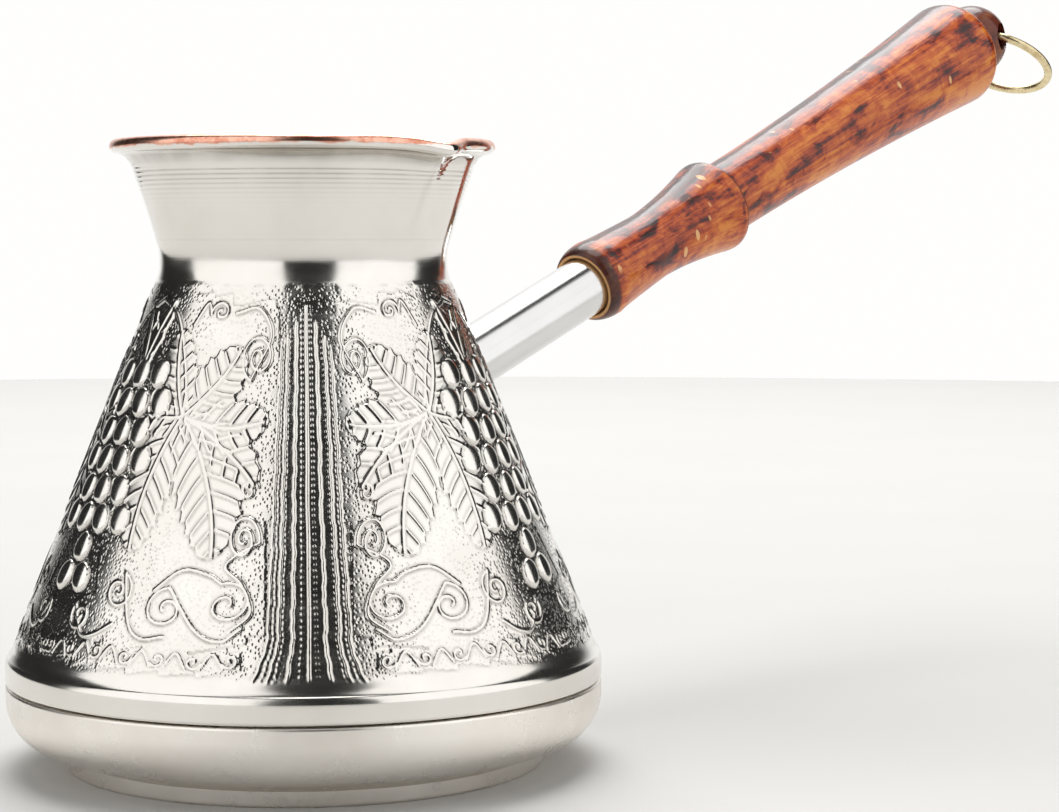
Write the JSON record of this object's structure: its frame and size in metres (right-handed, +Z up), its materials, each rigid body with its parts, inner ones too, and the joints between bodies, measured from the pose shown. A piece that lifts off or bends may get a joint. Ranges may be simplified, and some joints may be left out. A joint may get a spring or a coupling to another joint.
{
  "type": "cezve",
  "caption": "Narrow-necked coffee pot with a flared lipped rim, a wide stepped base and a long turned wooden handle that ends in a hanging ring.",
  "frame": {"origin": "centre of the foot's flat underside, on the pot's axis", "axes": "+Z up along the pot's axis, +X towards the handle, -Y towards the pouring lip"},
  "size_m": [0.2994, 0.1106, 0.1539],
  "materials": {
    "tinned_body": "polished tinned copper with chased vine pattern, bare copper on the rim",
    "satin_pan": "satin tinned copper",
    "polished_steel": "polished",
    "zinc_steel": "zinc plated",
    "copper_washer": "bare copper",
    "brass_wire": "drawn brass wire",
    "lacquered_wood": "flame-stained birch under gloss lacquer"
  },
  "bodies": {
    "pot": {"base_pan": "satin_pan", "body_shell": "tinned_body", "handle_seat": "polished_steel", "inner_saddle_washer": "copper_washer", "handle_stud": "zinc_steel", "lock_nut": "zinc_steel", "ferrule_tube": "polished_steel", "threaded_insert": "brass_wire", "wooden_handle": "lacquered_wood"},
    "ring": {"hanging_ring": "brass_wire"}
  },
  "joints": [
    {"name": "ring_swing", "type": "hinge", "parent": "pot", "child": "ring", "pos_m": [0.22282, 0, 0.1465], "axis": [0, 1, 0], "range_deg": [-190, 88]}
  ]
}
